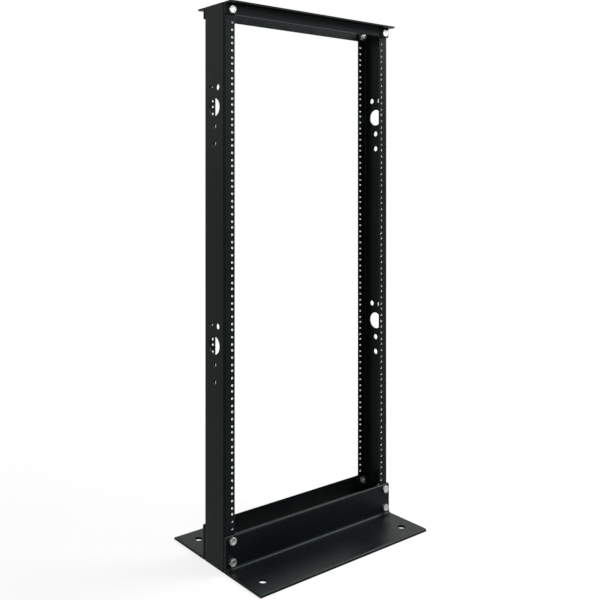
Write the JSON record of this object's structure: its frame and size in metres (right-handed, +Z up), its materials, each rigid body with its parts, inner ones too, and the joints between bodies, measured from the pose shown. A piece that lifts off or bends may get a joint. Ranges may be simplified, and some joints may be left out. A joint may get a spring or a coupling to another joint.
{
  "type": "two post open frame rack",
  "caption": "Free-standing open frame rack of perforated steel channel uprights bolted to wide base angles and narrow top angles, for nineteen-inch equipment.",
  "frame": {"origin": "centre of the footprint on the floor, under the middle of the rack", "axes": "+X across the rack to its right as seen from the front, +Y from front to rear, +Z up"},
  "size_m": [0.508, 0.3302, 1.232],
  "materials": {
    "upright_steel": "satin black powder coat",
    "angle_steel": "satin black powder coat",
    "bolt_zinc": "bright zinc plating",
    "nut_zinc": "bright zinc plating"
  },
  "bodies": {
    "root": {"left_upright": "upright_steel", "right_upright": "upright_steel", "front_base_angle": "angle_steel", "rear_base_angle": "angle_steel", "front_top_angle": "angle_steel", "rear_top_angle": "angle_steel", "bolt_base_front_left_low": "bolt_zinc", "bolt_base_front_right_low": "bolt_zinc", "bolt_base_rear_left_low": "bolt_zinc", "bolt_base_rear_right_low": "bolt_zinc", "bolt_base_front_left_high": "bolt_zinc", "bolt_base_front_right_high": "bolt_zinc", "bolt_base_rear_left_high": "bolt_zinc", "bolt_base_rear_right_high": "bolt_zinc", "bolt_top_front_left": "bolt_zinc", "bolt_top_front_right": "bolt_zinc", "bolt_top_rear_left": "bolt_zinc", "bolt_top_rear_right": "bolt_zinc", "nut_base_front_left_low": "nut_zinc", "nut_base_front_right_low": "nut_zinc", "nut_base_rear_left_low": "nut_zinc", "nut_base_rear_right_low": "nut_zinc", "nut_base_front_left_high": "nut_zinc", "nut_base_front_right_high": "nut_zinc", "nut_base_rear_left_high": "nut_zinc", "nut_base_rear_right_high": "nut_zinc", "nut_top_front_left": "nut_zinc", "nut_top_front_right": "nut_zinc", "nut_top_rear_left": "nut_zinc", "nut_top_rear_right": "nut_zinc"}
  },
  "joints": []
}
